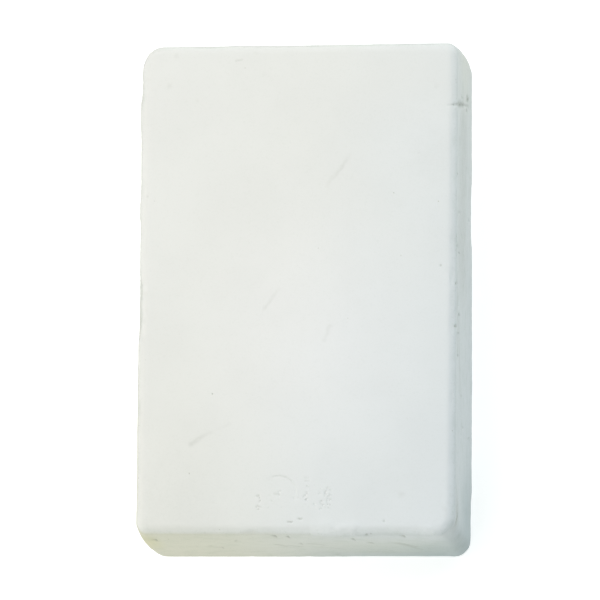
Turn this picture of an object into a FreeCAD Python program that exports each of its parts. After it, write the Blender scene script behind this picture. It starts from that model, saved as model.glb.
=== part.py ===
import FreeCAD, Part
import os

# Gymnastics chalk block: one dry cake of pressed magnesium carbonate.
# Frame: +Z up, +Y along the block's length, +X across it. The origin is the centre of
# the face that the block rests on. All sizes are in millimetres.

# Driving dimensions: the cake of a two ounce block
WIDTH = 53.5
LENGTH = 83.5
THICKNESS = 31.0

# The upright corners come out of the mould rounded and are rubbed further in handling,
# each by its own amount. A corner is named by the signs of its X and Y.
CORNER_RADIUS = {
    (-1, 1): 3.4,
    (1, 1): 1.6,
    (1, -1): 3.0,
    (-1, -1): 1.8,
}

# The edges around the two large faces are crumbled to a small round
RIM_RADIUS = 1.3

# How near an edge's ends must be to a plane to count as lying in it
TOLERANCE = 0.001


def chalk_block():
    """The cake: a plain block with four rounded upright corners and two rounded rims."""
    corner = FreeCAD.Vector(-WIDTH / 2, -LENGTH / 2, 0)
    cake = Part.makeBox(WIDTH, LENGTH, THICKNESS, corner)
    for (side_x, side_y), radius in CORNER_RADIUS.items():
        upright = upright_edge(cake, side_x * WIDTH / 2, side_y * LENGTH / 2)
        cake = cake.makeFillet(radius, [upright])
    return cake.makeFillet(RIM_RADIUS, rim_edges(cake, 0) + rim_edges(cake, THICKNESS))


def upright_edge(solid, x, y):
    """The edge that stands on the point x, y and runs the full thickness."""
    for edge in solid.Edges:
        ends = [vertex.Point for vertex in edge.Vertexes]
        if all(abs(end.x - x) < TOLERANCE and abs(end.y - y) < TOLERANCE for end in ends):
            return edge
    raise ValueError("no upright edge at %g, %g" % (x, y))


def rim_edges(solid, height):
    """The closed ring of edges around the large face at this height."""
    return [
        edge
        for edge in solid.Edges
        if all(abs(vertex.Point.z - height) < TOLERANCE for vertex in edge.Vertexes)
    ]


os.makedirs("parts", exist_ok=True)
block = chalk_block()
block.exportStep("parts/chalk_block.step")
print("chalk_block: %.1f cm3, valid %s" % (block.Volume / 1000, block.isValid()))
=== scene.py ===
import math
import random

import bpy
import numpy as np
from mathutils import Matrix, Vector, noise


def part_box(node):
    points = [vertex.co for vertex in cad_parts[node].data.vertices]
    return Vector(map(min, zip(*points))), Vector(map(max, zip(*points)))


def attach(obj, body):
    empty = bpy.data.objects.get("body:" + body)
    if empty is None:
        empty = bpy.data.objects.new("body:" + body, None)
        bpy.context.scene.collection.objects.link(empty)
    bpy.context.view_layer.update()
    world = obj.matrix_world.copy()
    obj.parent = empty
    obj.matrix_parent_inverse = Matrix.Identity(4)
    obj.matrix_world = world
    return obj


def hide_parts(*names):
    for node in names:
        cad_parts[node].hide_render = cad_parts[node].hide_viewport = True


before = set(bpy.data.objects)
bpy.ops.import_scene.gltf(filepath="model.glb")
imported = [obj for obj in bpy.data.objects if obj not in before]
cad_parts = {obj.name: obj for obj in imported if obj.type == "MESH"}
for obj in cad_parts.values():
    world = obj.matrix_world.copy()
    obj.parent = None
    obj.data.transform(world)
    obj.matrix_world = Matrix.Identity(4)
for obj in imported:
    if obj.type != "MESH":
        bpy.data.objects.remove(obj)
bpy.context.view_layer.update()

# ---------------------------------------------------------------------------------------
# The chalk block: one cake of magnesium carbonate, pressed damp in a mould and dried.
# The large faces come out smooth and the sides a little porous, and every edge has been
# rubbed and nicked in packing and in the hand. Lengths in this section are millimetres.
# ---------------------------------------------------------------------------------------
MM = 0.001
low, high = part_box("chalk_block")
WIDTH = (high.x - low.x) / MM
LENGTH = (high.y - low.y) / MM
TOP = (high.z - low.z) / MM
RIGHT, LEFT = WIDTH / 2, -WIDTH / 2
FAR, NEAR = LENGTH / 2, -LENGTH / 2
FOOT = 0.0
HALF = np.array([WIDTH, LENGTH, TOP]) / 2
MIDDLE = np.array([0, 0, TOP / 2])

# How far each wall stands inside the plain box at its two ends, first along the foot and
# then along the top. A wall's first end is its near one or its left one. The cake tapers
# towards the top, as it must to leave the mould, and has dried a little out of square.
SHRINK = {
    "left": {"foot": (0.10, 0.25), "top": (0.27, 0.53)},
    "right": {"foot": (-0.12, 0.42), "top": (-0.05, 0.00)},
    "near": {"foot": (0.20, 0.02), "top": (0.79, 0.48)},
    "far": {"foot": (0.50, 0.00), "top": (1.03, 0.68)},
}

# Rounding of the upright corners at the foot, half way up and at the top, by the signs of
# their X and Y: an upright edge wears roundest at its two ends.
UPRIGHT_RADIUS = {
    (-1, 1): (3.4, 3.0, 4.1),
    (1, 1): (2.4, 0.8, 1.9),
    (1, -1): (2.9, 2.7, 3.6),
    (-1, -1): (2.4, 0.8, 2.2),
}

# Rounding of the rims around the two large faces, and how far the top face falls away
# towards its edges.
RIM_RADIUS = 1.6
FACE_FALL = 0.2


def hill(distance, reach):
    """1 at no distance, falling smoothly to 0 at reach."""
    return (1 - np.clip(distance / reach, 0, 1) ** 2) ** 2


def rise(value, start, end):
    """0 up to start, 1 from end on, and a smooth rise between them."""
    t = np.clip((value - start) / (end - start), 0, 1)
    return t * t * (3 - 2 * t)


def cloud(points, size, seed, octaves=3):
    """Smooth random values, mostly between -1 and 1, with lumps about size across."""
    shift = Vector((seed * 17.3, seed * 9.1, seed * 5.7))
    return np.array([noise.fractal(Vector(p) / size + shift, 1.0, 2.0, octaves) for p in points])


def inset(wall, along, up):
    """A wall's shrink at a place along it (-1 to 1) and at a height (0 foot, 1 top)."""
    foot, top = np.array(SHRINK[wall]["foot"]), np.array(SHRINK[wall]["top"])
    first, second = (foot[:, None] + (top - foot)[:, None] * up)
    return first + (second - first) * (along + 1) / 2


def rounded(a, b, radius):
    """Distance outside a rounded corner, from the distances outside its two sides."""
    within = np.minimum(np.maximum(a, b), -radius)
    return within + np.hypot(np.maximum(a + radius, 0), np.maximum(b + radius, 0))


def outside(points):
    """Each point's distance outside the cake's plain form, negative inside it."""
    x, y, z = points.T
    up = np.clip(z / TOP, 0, 1)
    across = np.clip(x / RIGHT, -1, 1)
    along = np.clip(y / FAR, -1, 1)
    side_x = np.where(
        x > 0,
        x - RIGHT + inset("right", along, up),
        LEFT - x + inset("left", along, up),
    )
    side_y = np.where(
        y > 0,
        y - FAR + inset("far", across, up),
        NEAR - y + inset("near", across, up),
    )
    fall = FACE_FALL * np.maximum(np.abs(across) ** 6, np.abs(along) ** 10)
    side_z = np.where(z > TOP / 2, z - TOP + fall, FOOT - z)
    upright = np.zeros(len(points))
    for (sign_x, sign_y), (at_foot, half_way, at_top) in UPRIGHT_RADIUS.items():
        radius = half_way + (np.where(up > 0.5, at_top, at_foot) - half_way) * (2 * up - 1) ** 2
        upright = np.where((x * sign_x >= 0) & (y * sign_y >= 0), radius, upright)
    return rounded(rounded(side_x, side_y, upright), side_z, RIM_RADIUS)


def settle(points):
    """Moves points onto the plain form. Returns them and the outward directions there."""
    step = 0.01
    passes = 4
    for _ in range(passes):
        slope = [outside(points + step * axis) - outside(points - step * axis) for axis in np.eye(3)]
        slope = np.stack(slope, axis=1)
        slope /= np.linalg.norm(slope, axis=1, keepdims=True)
        points = points - slope * outside(points)[:, None]
    return points, slope


# Marks are nicks, pits and rubbed places. Each lies along a line from start to end, with a
# half-width, a depth (negative where the skin swells), and the grime at its start and its
# end: 0 is clean and 1 is dark. Its taper is how much of its width and depth is gone by its
# end. Wear fades out at WORN half-widths and grime at GRIMY, both with a wavering outline.
WORN = 1.5
GRIMY = 1.3
WAVER = 0.4
marks = []


def mark(start, end, width, depth, grime, last_grime=None, taper=0.0):
    ends = np.array(start, float), np.array(end, float)
    marks.append((*ends, width, depth, grime, grime if last_grime is None else last_grime, taper))


def pit(place, width, depth, grime):
    mark(place, place, width, depth, grime)


def dragged(hole, tail, width, depth, grime):
    """A hole that the mould's wall has dragged out into a tail."""
    mark(hole, tail, width, depth, grime, 0.6 * grime, 0.6)


# soft grey rubs on the top face
mark((5.0, 17.0, TOP), (7.6, 20.2, TOP), 0.40, 0.02, 0.03, 0.13)
mark((7.6, 20.2, TOP), (8.8, 22.1, TOP), 0.40, 0.02, 0.13, 0.03)
mark((-5.1, -3.4, TOP), (-3.9, -1.7, TOP), 0.38, 0.02, 0.11, 0.08)
mark((-3.9, -1.7, TOP), (-2.8, -0.3, TOP), 0.38, 0.02, 0.08, 0.03)
mark((4.8, -8.9, TOP), (5.8, -6.4, TOP), 0.42, 0.02, 0.06, 0.09)
mark((-17.3, -26.1, TOP), (-15.5, -24.9, TOP), 0.48, 0.02, 0.16, 0.13)
mark((-15.5, -24.9, TOP), (-13.8, -24.1, TOP), 0.40, 0.02, 0.13, 0.04)
mark((-13.1, -23.7, TOP), (-10.7, -22.7, TOP), 0.32, 0.02, 0.02, 0.04)

# small dents and specks on the top face
pit((-19.9, -1.4, TOP), 1.1, 0.10, 0.0)
pit((17.9, -34.7, TOP), 0.7, 0.05, 0.09)
pit((24.2, 3.6, TOP), 0.22, 0.12, 0.40)
pit((15.1, -39.0, TOP), 0.24, 0.10, 0.30)
pit((-20.3, 39.0, TOP), 0.5, 0.06, 0.06)
mark((-10.3, 38.2, TOP), (-9.3, 38.3, TOP), 0.22, 0.05, 0.14)
pit((-7.0, 39.4, TOP), 0.4, 0.05, 0.05)
pit((-21.4, 33.9, TOP), 0.5, 0.05, 0.07)
pit((-16.7, 31.4, TOP), 0.4, 0.04, 0.05)
pit((-5.6, 35.9, TOP), 0.6, 0.04, 0.03)
pit((-25.0, 15.4, TOP), 0.25, 0.08, 0.12)
pit((23.3, 33.6, TOP), 0.5, 0.05, 0.05)
pit((22.3, 21.0, TOP), 1.2, 0.03, 0.025)
pit((20.4, 22.4, TOP), 0.3, 0.05, 0.08)
pit((17.4, 13.8, TOP), 1.0, 0.03, 0.02)
pit((24.0, 22.0, TOP), 6.0, 0.0, 0.04)
pit((-21.0, -37.0, TOP), 10.0, 0.0, 0.05)

# the round flake lifted off by the near edge of the top face, with dirt along its far rim
FLAKE_CENTRE = np.array([-2.6, -34.4])
FLAKE_RADIUS = 3.05
FLAKE_DEPTH = 0.08


def flake_rim(degrees):
    """A place on the flake's rim, by its turn from +X towards +Y."""
    turn = math.radians(degrees)
    return (*(FLAKE_CENTRE + FLAKE_RADIUS * np.array([math.cos(turn), math.sin(turn)])), TOP)


RIM_DIRT = ((107, 88, 0.08), (88, 65, 0.12), (65, 45, 0.09), (45, 20, 0.0), (20, -5, 0.0))
for first, last, dirt in RIM_DIRT:
    mark(flake_rim(first), flake_rim(last), 0.16, 0.02, dirt)

# scratches around the flake, and crumbs picked out of the skin beside it
mark((1.7, -31.8, TOP), (2.4, -31.8, TOP), 0.16, 0.04, 0.08)
mark((1.8, -32.3, TOP), (2.5, -32.3, TOP), 0.16, 0.04, 0.10)
mark((-0.9, -39.1, TOP), (-0.3, -39.1, TOP), 0.17, 0.10, 0.40)
mark((0.8, -38.6, TOP), (1.3, -38.6, TOP), 0.17, 0.10, 0.36)
mark((-3.2, -34.4, TOP), (-2.5, -34.4, TOP), 0.26, 0.04, 0.14)
crumbs = random.Random(11)
for centre_x, centre_y, spread_x, spread_y, count, dirt in (
    (-5.6, -35.9, 0.55, 1.2, 11, 0.26),
    (2.2, -34.2, 0.25, 1.5, 10, 0.20),
    (5.3, -35.2, 0.95, 1.7, 28, 0.22),
    (0.5, -35.5, 5.0, 1.8, 14, 0.06),
):
    for _ in range(count):
        x = centre_x + crumbs.uniform(-1, 1) * spread_x
        y = centre_y + crumbs.uniform(-1, 1) * spread_y
        size = crumbs.uniform(0.13, 0.22)
        pit((x, y, TOP), size, size * crumbs.uniform(0.2, 0.6), dirt * crumbs.uniform(0.3, 1.0))

# rubs that have rounded the left edge of the top face, its far end, and two places along
# the foot of the right wall
mark((LEFT, 25, TOP - 1), (LEFT, 17, TOP - 1), 2.0, 0.14, 0.0)
mark((LEFT, 10, TOP - 1), (LEFT, 2, TOP - 1), 2.0, 0.14, 0.0)
mark((LEFT, 0.3, TOP - 1), (LEFT, -6.5, TOP - 1), 1.7, 0.50, 0.0)
mark((LEFT, 39, TOP - 1), (LEFT, 34, TOP - 1), 2.4, 0.28, 0.0)
mark((RIGHT, 19.0, 1), (RIGHT, 12.5, 1), 1.8, 0.18, 0.0)
mark((RIGHT, -35.0, 2), (RIGHT, -38.5, 2), 3.0, 0.18, 0.0)

# a low swelling along the near edge, and another by its right end
mark((5.5, NEAR, TOP - 1), (9.5, NEAR, TOP - 1), 2.4, -0.40, 0.0)
mark((23.0, NEAR, TOP - 1), (24.5, NEAR, TOP - 1), 2.0, -0.25, 0.0)

# the long nick in the right wall, from the rim down to the dark hole at its foot
mark((25.2, 30.5, TOP), (RIGHT, 30.6, TOP), 0.22, 0.08, 0.05, 0.22)
mark((RIGHT, 30.6, TOP), (RIGHT, 30.9, 28.4), 0.30, 0.16, 0.22, 0.40)
mark((RIGHT, 30.9, 28.4), (RIGHT, 31.6, 22.8), 0.50, 0.35, 0.34, 0.50)
mark((RIGHT, 31.6, 22.8), (RIGHT, 32.3, 17.5), 0.44, 0.30, 0.50, 0.32)
mark((RIGHT, 32.3, 17.5), (RIGHT, 33.3, 8.5), 0.24, 0.16, 0.30, 0.20)
dragged((RIGHT, 34.2, 11.6), (RIGHT, 34.6, 8.0), 0.58, 0.6, 1.0)
dragged((RIGHT, 31.9, 13.8), (RIGHT, 32.2, 10.8), 0.28, 0.35, 0.70)
dragged((RIGHT, 33.0, 22.4), (RIGHT, 33.3, 19.4), 0.24, 0.20, 0.40)

# holes dragged out along the right wall as the cake left the mould, and dirt smeared over it
for y, z, size, length, dirt in (
    (19.2, 29.3, 0.24, 2.2, 0.50),
    (13.0, 26.2, 0.30, 3.0, 0.42),
    (7.1, 29.2, 0.26, 1.8, 0.42),
    (6.3, 26.2, 0.22, 3.0, 0.36),
    (0.8, 29.8, 0.24, 2.0, 0.46),
    (-4.1, 26.0, 0.32, 3.2, 0.42),
    (-6.4, 30.0, 0.28, 2.0, 0.62),
    (-7.3, 27.2, 0.21, 3.4, 0.34),
    (-11.0, 26.8, 0.26, 2.4, 0.42),
    (-17.0, 21.0, 0.24, 1.6, 0.25),
    (-22.0, 18.0, 0.26, 2.0, 0.28),
):
    dragged((RIGHT, y, z), (RIGHT, y + 0.13 * length, z - length), size, 0.8 * size, dirt)
mark((RIGHT, 25, 25.5), (RIGHT, 18, 24.5), 1.6, 0.05, 0.07)
mark((RIGHT, 13, 25.0), (RIGHT, 5, 26.5), 1.6, 0.05, 0.09)
mark((RIGHT, 2.4, 28.0), (RIGHT, -10.4, 27.0), 1.1, 0.06, 0.16)
mark((RIGHT, -6.0, 25.0), (RIGHT, -14.5, 22.5), 1.5, 0.05, 0.12)
mark((RIGHT, 26, 18), (RIGHT, 6, 20), 9.0, 0.0, 0.16)
mark((RIGHT, -31.0, 27.0), (RIGHT, -37.0, 26.5), 4.2, 0.0, 0.04, 0.20)
mark((RIGHT, -34.0, 26.8), (RIGHT, -37.6, 26.8), 2.4, 0.0, 0.10, 0.40)
mark((RIGHT, -37.4, 24.8), (RIGHT, -38.6, 27.6), 0.55, 0.15, 0.60, 0.85)

# holes, scratches and smears in the near wall
dragged((-3.60, NEAR, 28.4), (-3.35, NEAR, 26.0), 0.36, 0.35, 1.00)
dragged((-1.40, NEAR, 27.8), (-1.15, NEAR, 25.4), 0.28, 0.25, 0.65)
dragged((-0.15, NEAR, 18.6), (0.05, NEAR, 16.2), 0.28, 0.20, 0.36)
dragged((9.2, NEAR, 24.6), (9.4, NEAR, 22.0), 0.28, 0.22, 0.55)
dragged((12.1, NEAR, 30.0), (12.2, NEAR, 28.2), 0.24, 0.20, 0.45)
mark((11.2, NEAR, 20.4), (12.0, NEAR, 18.8), 0.28, 0.20, 0.45)
mark((7.1, NEAR, 30.2), (7.9, NEAR, 28.2), 0.14, 0.10, 0.0)
dragged((17.9, NEAR, 28.9), (18.15, NEAR, 26.4), 0.42, 0.35, 1.0)
mark((16.2, NEAR, 18.8), (18.6, NEAR, 14.0), 0.80, 0.08, 0.18, 0.28)
mark((17.2, NEAR, 16.0), (19.4, NEAR, 10.5), 0.40, 0.08, 0.20, 0.10)
dragged((-24.1, NEAR, 23.6), (-23.8, NEAR, 20.8), 0.36, 0.35, 0.95)
mark((-16.0, NEAR, 14.6), (-14.2, NEAR, 13.0), 0.50, 0.08, 0.12)
dragged((-13.9, NEAR, 13.6), (-13.7, NEAR, 11.6), 0.28, 0.15, 0.40)
dragged((-15.6, NEAR, 15.6), (-15.4, NEAR, 14.0), 0.24, 0.12, 0.30)
mark((3.0, NEAR, 14.0), (6.5, NEAR, 11.0), 0.50, 0.06, 0.10)
mark((-4.2, NEAR, 17.0), (-3.0, NEAR, 14.5), 0.60, 0.06, 0.26)
mark((-2.2, NEAR, 15.5), (-0.6, NEAR, 14.0), 0.70, 0.06, 0.22)
mark((1.2, NEAR, 18.0), (3.4, NEAR, 16.5), 0.60, 0.06, 0.24)

# chance marks: holes dragged along the sides, and scratches on the underside
chance = random.Random(5)
for axis, stands, count in ((0, RIGHT, 12), (0, LEFT, 26), (1, NEAR, 10), (1, FAR, 18)):
    for _ in range(count):
        along = chance.uniform(-0.94, 0.94) * HALF[1 - axis]
        up = TOP * chance.uniform(0.10, 0.90)
        reach = chance.uniform(0, 1.6) ** 2
        slant = chance.uniform(-0.3, 0.3) * reach
        hole, tail = [0, 0, up], [0, 0, up - reach]
        hole[axis] = tail[axis] = stands
        hole[1 - axis], tail[1 - axis] = along, along + slant
        width = chance.uniform(0.15, 0.34)
        depth = width * chance.uniform(0.4, 1.0)
        dragged(hole, tail, width, depth, chance.uniform(0.0, 0.6) ** 2)
for _ in range(26):
    x, y = chance.uniform(-0.93, 0.93) * RIGHT, chance.uniform(-0.95, 0.95) * FAR
    reach = chance.uniform(0, 1.8) ** 2
    turn = chance.uniform(0, math.pi)
    end = (x + reach * math.cos(turn), y + reach * math.sin(turn), FOOT)
    width, depth = chance.uniform(0.2, 0.5), chance.uniform(0.03, 0.15)
    mark((x, y, FOOT), end, width, depth, chance.uniform(0.0, 0.3))

# crumbled nicks along all twelve edges
for _ in range(60):
    place = [chance.choice((LEFT, RIGHT)), chance.choice((NEAR, FAR)), chance.choice((FOOT, TOP))]
    free = chance.choices((0, 1, 2), weights=(WIDTH, LENGTH, TOP))[0]
    place[free] = MIDDLE[free] + chance.uniform(-0.93, 0.93) * HALF[free]
    far_end = list(place)
    far_end[free] += chance.uniform(0.0, 2.2)
    width, depth = chance.uniform(0.7, 1.3), chance.uniform(0.04, 0.16)
    mark(place, far_end, width, depth, chance.uniform(0.0, 0.06))

# The longest triangle side wanted along the edges, on the walls, on the large faces and in
# the smallest marks, and the width of the band of fine triangles beside an edge.
EDGE_SIDE = 0.50
WALL_SIDE = 1.0
FACE_SIDE = 1.7
MARK_SIDE = 0.16
EDGE_BAND = 1.8


def to_line(points, start, end):
    """Each point's distance from the line from start to end, and how far along it lies."""
    line = end - start
    share = np.clip((points - start) @ line / max(line @ line, 1e-9), 0, 1)
    return np.linalg.norm(points - start - share[:, None] * line, axis=1), share


def near_mark(points, start, end, reach):
    """Which points lie in the box that reaches this far around a mark."""
    return (np.abs(points - (start + end) / 2) < np.abs(end - start) / 2 + reach).all(axis=1)


def spacing(points):
    """The longest triangle side that each place on the cake may have. It grows with the
    distance from the edges, and faster with the distance from a mark."""
    from_edge = np.sort(np.abs(np.abs(points - MIDDLE) - HALF), axis=1)[:, 1]
    on_wall = (points[:, 2] > FOOT + 0.01) & (points[:, 2] < TOP - 0.01)
    widest = np.where(on_wall, WALL_SIDE, FACE_SIDE)
    wanted = np.clip(EDGE_SIDE + 0.3 * (from_edge - EDGE_BAND), EDGE_SIDE, widest)
    for start, end, width, *_ in marks:
        near = near_mark(points, start, end, width + 2.5)
        if near.any():
            beyond = np.clip(to_line(points[near], start, end)[0] - width, 0, None)
            in_mark = max(MARK_SIDE, 0.75 * width)
            wanted[near] = np.minimum(wanted[near], in_mark + 0.65 * beyond)
    return wanted


def refine(points, triangles):
    """Halves every side longer than spacing allows, until none is. A triangle is always
    cut through its longest side first, so that it never gets thin."""
    while True:
        sides = np.sort(triangles[:, [0, 1, 1, 2, 2, 0]].reshape(-1, 2), axis=1)
        codes = sides[:, 0] * len(points) + sides[:, 1]
        _, first, which = np.unique(codes, return_index=True, return_inverse=True)
        edges = sides[first]
        which = which.reshape(-1, 3)
        length = np.linalg.norm(points[edges[:, 0]] - points[edges[:, 1]], axis=1)
        middle = points[edges].mean(axis=1)
        cut = length > spacing(middle)
        if not cut.any():
            return points, triangles
        turn = length[which].argmax(axis=1)
        longest = which[np.arange(len(which)), turn]
        while not cut[longest[cut[which].any(axis=1)]].all():
            cut[longest[cut[which].any(axis=1)]] = True
        new = np.full(len(edges), -1)
        new[cut] = len(points) + np.arange(cut.sum())
        points = np.concatenate([points, middle[cut]])
        order = (turn[:, None] + np.arange(3)) % 3
        a, b, c = np.take_along_axis(triangles, order, axis=1).T
        ab, bc, ca = new[np.take_along_axis(which, order, axis=1)].T
        pieces = [
            (ab < 0, (a, b, c)),
            ((ab >= 0) & (ca < 0), (a, ab, c)),
            ((ab >= 0) & (ca >= 0), (a, ab, ca)),
            ((ab >= 0) & (ca >= 0), (ca, ab, c)),
            ((ab >= 0) & (bc < 0), (ab, b, c)),
            ((ab >= 0) & (bc >= 0), (ab, b, bc)),
            ((ab >= 0) & (bc >= 0), (ab, bc, c)),
        ]
        triangles = np.concatenate([np.stack(corners, axis=1)[kept] for kept, corners in pieces])


# the plain box, cut into fine triangles and then moved onto the cake's true form
signs = np.array([(x, y, z) for x in (-1, 1) for y in (-1, 1) for z in (-1, 1)])
faces = ((0, 1, 3, 2), (4, 6, 7, 5), (0, 4, 5, 1), (2, 3, 7, 6), (0, 2, 6, 4), (1, 5, 7, 3))
halves = np.array([half for a, b, c, d in faces for half in ((a, b, c), (a, c, d))])
boxed, triangles = refine(MIDDLE + signs * HALF, halves)
plain, outward = settle(boxed)

# Where the skin is porous, where it stands upright, and where it turns over an edge. How
# deep each point then lies under the true form: broad unevenness everywhere, small lumps on
# the porous sides, edges rubbed unevenly, the flake, and the marks.
flat = np.abs(outward[:, 2])
on_edge = rise(1 - np.abs(outward).max(axis=1), 0.01, 0.2)
porous = 1 - rise(flat, 0.5, 0.95)
upright = 1 - rise(flat, 0.1, 0.7)
depth = 0.05 * cloud(plain, 16, 1)
depth += 0.035 * porous * cloud(plain, 2.2, 2)
depth += on_edge * 0.08 * (0.5 + cloud(plain, 5, 3))
flake = boxed[:, :2] - FLAKE_CENTRE
flaked = 1 - rise(np.hypot(*flake.T), FLAKE_RADIUS - 0.14, FLAKE_RADIUS + 0.14)
flaked *= rise(flake @ [0.6, 0.8], -1.5, 1.8) * (boxed[:, 2] > TOP - 0.01)
depth += FLAKE_DEPTH * flaked
grime = np.zeros(len(plain))
wobble = np.stack([cloud(plain, 1.1, seed, 2) for seed in (4, 5, 6)], axis=1)
for start, end, width, deep, first_grime, last_grime, taper in marks:
    near = near_mark(boxed, start, end, width * 2.2)
    away, share = to_line(boxed[near] + WAVER * width * wobble[near], start, end)
    left = 1 - taper * share
    depth[near] += deep * left * hill(away, width * left * WORN)
    dirt = first_grime + (last_grime - first_grime) * share
    grime[near] = np.maximum(grime[near], dirt * hill(away, width * left * GRIMY))
surface = plain - outward * depth[:, None]


def patch(centre, stretch, reach):
    """1 at a centre on the block, fading to 0 at reach, and stretched along X, Y and Z."""
    return hill(np.linalg.norm((boxed - centre) / stretch, axis=1), reach)


# Stains and painted warm light: yellow along the near side, strongest at its left end, and at
# the far right corner. Only the yellow close by the near left corner is a stain; the broad
# yellow along the near side and at the far right corner is painted warm light.
# A paler place lies in the middle of the top face. Painted shade, grey-green, darkens the
# walls and rims towards the near right corner and towards its foot.
yellow_stain_and_warm_light = 0.5 * patch([LEFT + 1, NEAR, 20], [1, 1, 3], 42) * (0.12 + 0.88 * upright)
yellow_stain_and_warm_light += 0.5 * patch([LEFT + 1, NEAR, 20], [1, 1, 4], 3.5) * upright
yellow_stain_and_warm_light += 0.2 * patch([RIGHT, FAR, 15], [1, 1, 1], 16)
yellow_stain_and_warm_light += 0.25 * patch([14, NEAR, 14], [1, 0.5, 1], 16)
# Paler in the middle of the top face.
pale_middle = patch([2, -9, TOP], [1, 1.3, 1], 24)
near_right_shade = patch([RIGHT, NEAR, FOOT], [1.6, 1, 1.15], 24)
near_right_shade += 0.5 * patch([RIGHT - 4, NEAR - 2, 12], [1.1, 0.6, 1.8], 8)
near_right_shade += 0.35 * upright * patch([RIGHT, NEAR, 22], [1, 1, 1.5], 6)
near_right_shade += 0.3 * patch([RIGHT, NEAR + 6, 14], [0.6, 1.1, 1.5], 8)

mesh = bpy.data.meshes.new("chalk_block_cake")
mesh.from_pydata((surface * MM).tolist(), [], triangles.tolist())
for name, values in (
    ("grime", grime),
    ("porous", porous),
    ("upright", upright),
    ("yellow_stain_and_warm_light", yellow_stain_and_warm_light),
    ("near_right_shade", near_right_shade),
    ("pale_middle", pale_middle),
):
    mesh.attributes.new(name, "FLOAT", "POINT").data.foreach_set("value", values.astype(np.float32))
mesh.update()
mesh.shade_smooth()
block = bpy.data.objects.new("chalk_block_cake", mesh)
bpy.context.scene.collection.objects.link(block)


class Wire:
    """One output of a shader node. Arithmetic on wires adds the Math nodes for it."""

    def __init__(self, tree, socket=None):
        self.tree = tree
        self.socket = socket

    def node(self, kind, settings, values, output=0):
        """Adds a node, with its settings made first and then its sockets set or linked."""
        made = self.tree.nodes.new(kind)
        for name, setting in settings.items():
            setattr(made, name, setting)
        for name, value in values.items():
            if isinstance(value, Wire):
                self.tree.links.new(value.socket, made.inputs[name])
            else:
                made.inputs[name].default_value = value
        return Wire(self.tree, made.outputs[output]) if made.outputs else None

    def math(self, operation, first, second=0.0):
        return self.node("ShaderNodeMath", {"operation": operation}, {0: first, 1: second})

    def __add__(self, other):
        return self.math("ADD", self, other)

    def __sub__(self, other):
        return self.math("SUBTRACT", self, other)

    def __rsub__(self, other):
        return self.math("SUBTRACT", other, self)

    def __mul__(self, other):
        return self.math("MULTIPLY", self, other)

    __radd__ = __add__
    __rmul__ = __mul__


# Dry magnesium carbonate: a dead matt white, and what tints it. The white drifts from warm
# to cool across the block: painted light, warm where the light falls and cool towards the
# right and the near side, in shade. Then clouds and a paler place in the middle of the top
# face, sides darker, partly a duller skin and partly painted shade, mottling and fine specks,
# the stains and painted warm light, the painted shade at the near right corner, the
# pinholes, and the dirt that has got into the marks.
WARM_LIT = (0.806, 0.807, 0.781, 1)
COOL_SHADED = (0.772, 0.808, 0.836, 1)
CLOUDED = (0.98, 0.98, 0.98, 1)
PALE_MIDDLE = (1.05, 1.045, 1.06, 1)
SIDE_SHADE = (0.850, 0.855, 0.842, 1)
MOTTLED = (0.93, 0.945, 0.93, 1)
SPECKLED = (0.88, 0.89, 0.87, 1)
YELLOW_STAIN_AND_WARM_LIGHT = (0.98, 0.94, 0.72, 1)
NEAR_RIGHT_SHADE_TINT = (0.755, 0.80, 0.80, 1)
HOLE = (0.55, 0.56, 0.52, 1)
DIRT = (0.30, 0.31, 0.26, 1)

chalk = bpy.data.materials.new("pressed_chalk")
chalk.use_nodes = True
chalk.node_tree.nodes.clear()
ink = Wire(chalk.node_tree)
where = ink.node("ShaderNodeTexCoord", {}, {}, "Object")
where = ink.node("ShaderNodeVectorMath", {"operation": "SCALE"}, {0: where, "Scale": 1 / MM})


def lumps(size, detail):
    """Random values around a half, with lumps about this many millimetres across."""
    return ink.node("ShaderNodeTexNoise", {}, {"Vector": where, "Scale": 1 / size, "Detail": detail})


def between(value, start, end):
    """0 where value is start or less, 1 where it is end or more."""
    limits = {"Value": value, "From Min": start, "From Max": end}
    return ink.node("ShaderNodeMapRange", {"interpolation_type": "SMOOTHSTEP"}, limits)


def blend(share, first, second, kind="MIX"):
    """A colour that goes from first to second, or that second tints, as share rises."""
    return ink.node(
        "ShaderNodeMix",
        {"data_type": "RGBA", "blend_type": kind},
        {0: share, 6: first, 7: second},
        2,
    )


def painted(name):
    """A value that the mesh carries at each point."""
    return ink.node("ShaderNodeAttribute", {"attribute_name": name}, {}, "Fac")


skin = painted("porous")
cells = {"Vector": where, "Scale": 0.8, "Randomness": 1.0}
cell_distance = ink.node("ShaderNodeTexVoronoi", {"feature": "F1"}, cells, "Distance")
cell_colour = ink.node("ShaderNodeTexVoronoi", {"feature": "F1"}, cells, "Color")
cell_chance = ink.node("ShaderNodeSeparateColor", {}, {"Color": cell_colour}, 0)
open_skin = skin * 0.35 + 0.015
chosen = 1 - between(cell_chance, open_skin, open_skin + 0.02)
pinholes = (1 - between(cell_distance, 0.04, 0.12)) * chosen

across = ink.node("ShaderNodeSeparateXYZ", {}, {0: where}, "X")
along = ink.node("ShaderNodeSeparateXYZ", {}, {0: where}, "Y")
# Painted light: warm where the light falls on the left and far end, cooler and bluer towards the
# right and near side, in shade.
tone = blend(between(across - along * 0.35 + lumps(20, 2) * 16 - 8, -16, 44), WARM_LIT, COOL_SHADED)
tone = blend(between(lumps(14, 3), 0.35, 0.7), tone, CLOUDED, "MULTIPLY")
tone = blend(painted("pale_middle"), tone, PALE_MIDDLE, "MULTIPLY")
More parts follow.
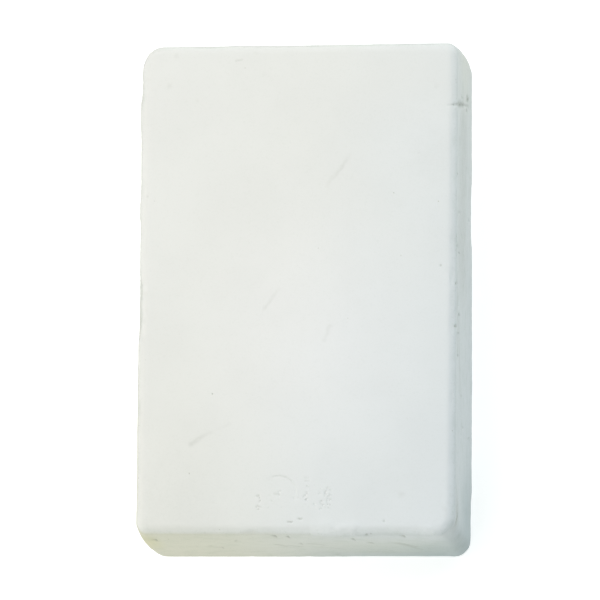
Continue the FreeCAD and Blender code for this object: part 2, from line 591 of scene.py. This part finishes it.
# The sides are darker: partly a duller porous skin, partly painted shade where less light reaches
# the walls.
tone = blend(painted("upright"), tone, SIDE_SHADE, "MULTIPLY")
tone = blend(between(lumps(3, 4), 0.45, 0.75) * (skin * 0.8 + 0.1), tone, MOTTLED, "MULTIPLY")
tone = blend(between(lumps(0.35, 2), 0.5, 0.8) * (skin * 0.6 + 0.2), tone, SPECKLED, "MULTIPLY")
# Yellow: a stain at the near left corner, and painted warm light along the near side and at the far
# right corner.
tone = blend(painted("yellow_stain_and_warm_light"), tone, YELLOW_STAIN_AND_WARM_LIGHT, "MULTIPLY")
# Painted shade: darker and grey-green towards the near right corner and its foot.
tone = blend(painted("near_right_shade"), tone, NEAR_RIGHT_SHADE_TINT, "MULTIPLY")
tone = blend(pinholes * 0.8, tone, HOLE)
tone = blend(painted("grime") * (lumps(0.5, 3) * 1.8 + 0.1), tone, DIRT)

grain = lumps(0.16, 3) * 0.5 + lumps(0.6, 3) * (skin * 1.2 + 0.3)
relief = grain - pinholes * 4
bump = ink.node("ShaderNodeBump", {}, {"Height": relief, "Distance": 0.02 * MM, "Strength": 1.0})
shader = ink.node(
    "ShaderNodeBsdfPrincipled",
    {},
    {
        "Base Color": tone,
        "Roughness": 0.95,
        "Specular IOR Level": 0.15,
        "Normal": bump,
    },
)
ink.node("ShaderNodeOutputMaterial", {}, {"Surface": shader})
mesh.materials.append(chalk)
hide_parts("chalk_block")
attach(block, "root")

# ---------------------------------------------------------------------------------------
# The table: a plain white sheet under the block.
# ---------------------------------------------------------------------------------------
TABLE_RADIUS = 6.0
table_mesh = bpy.data.meshes.new("table")
table_mesh.from_pydata(
    [(x * TABLE_RADIUS, y * TABLE_RADIUS, 0) for x, y in ((-1, -1), (1, -1), (1, 1), (-1, 1))],
    [],
    [(0, 1, 2, 3)],
)
table = bpy.data.objects.new("table", table_mesh)
bpy.context.scene.collection.objects.link(table)
paper = bpy.data.materials.new("white_paper")
paper.use_nodes = True
paper_shader = paper.node_tree.nodes["Principled BSDF"]
paper_shader.inputs["Base Color"].default_value = (0.75, 0.75, 0.75, 1)
paper_shader.inputs["Roughness"].default_value = 0.9
paper_shader.inputs["Specular IOR Level"].default_value = 0.0
paper_shader.inputs["Emission Color"].default_value = (1.0, 1.0, 1.0, 1)
paper_shader.inputs["Emission Strength"].default_value = 0.56
table_mesh.materials.append(paper)


# ---------------------------------------------------------------------------------------
# Light: a large softbox almost overhead, two small fills, and a pale room.
# ---------------------------------------------------------------------------------------
def softbox(name, place, size, power, colour):
    light = bpy.data.lights.new(name, "AREA")
    light.shape = "DISK"
    light.size = size
    light.energy = power
    light.color = colour
    lamp = bpy.data.objects.new(name, light)
    lamp.location = place
    lamp.rotation_mode = "QUATERNION"
    lamp.rotation_quaternion = (Vector((0, 0, 0.02)) - Vector(place)).to_track_quat("-Z", "Y")
    bpy.context.scene.collection.objects.link(lamp)


softbox("overhead_softbox", (-0.093, 0.051, 0.301), 0.44, 1.009, (1.0, 0.94, 0.915))
softbox("right_fill", (0.326, 0.246, 0.15), 0.36, 0.64, (0.93, 0.98, 1.0))
softbox("far_left_fill", (-0.35, 0.25, 0.06), 0.30, 0.16, (1.0, 0.98, 0.94))
softbox("near_fill", (-0.1, -0.299, 0.1), 0.24, 0.255, (1.0, 0.97, 0.86))
world = bpy.data.worlds.new("room")
world.use_nodes = True
world.node_tree.nodes["Background"].inputs["Color"].default_value = (0.72, 1.0, 1.0, 1)
world.node_tree.nodes["Background"].inputs["Strength"].default_value = 0.196
bpy.context.scene.world = world
bpy.context.scene.view_settings.view_transform = "Standard"

# ---------------------------------------------------------------------------------------
# Camera: a long lens almost straight above, a little towards the near right corner.
# ---------------------------------------------------------------------------------------
AZIMUTH = math.radians(40.24)
ELEVATION = math.radians(80.6)
ROLL = math.radians(-0.47)
DISTANCE = 3.0
LENS = 1083.6
SENSOR = 36.0
AIM = Vector((0.78, -2.03, TOP)) * MM

backward = Vector(
    (
        math.sin(AZIMUTH) * math.cos(ELEVATION),
        -math.cos(AZIMUTH) * math.cos(ELEVATION),
        math.sin(ELEVATION),
    )
)
level = Vector((0, 1, 0)).cross(backward).normalized()
upward = backward.cross(level)
rightward = level * math.cos(ROLL) - upward * math.sin(ROLL)
upward = level * math.sin(ROLL) + upward * math.cos(ROLL)
camera_data = bpy.data.cameras.new("camera")
camera_data.lens = LENS
camera_data.sensor_width = SENSOR
camera_data.clip_end = 20
camera = bpy.data.objects.new("camera", camera_data)
facing = Matrix((rightward, upward, backward)).transposed().to_4x4()
camera.matrix_world = Matrix.Translation(AIM + backward * DISTANCE) @ facing
bpy.context.scene.collection.objects.link(camera)
bpy.context.scene.camera = camera
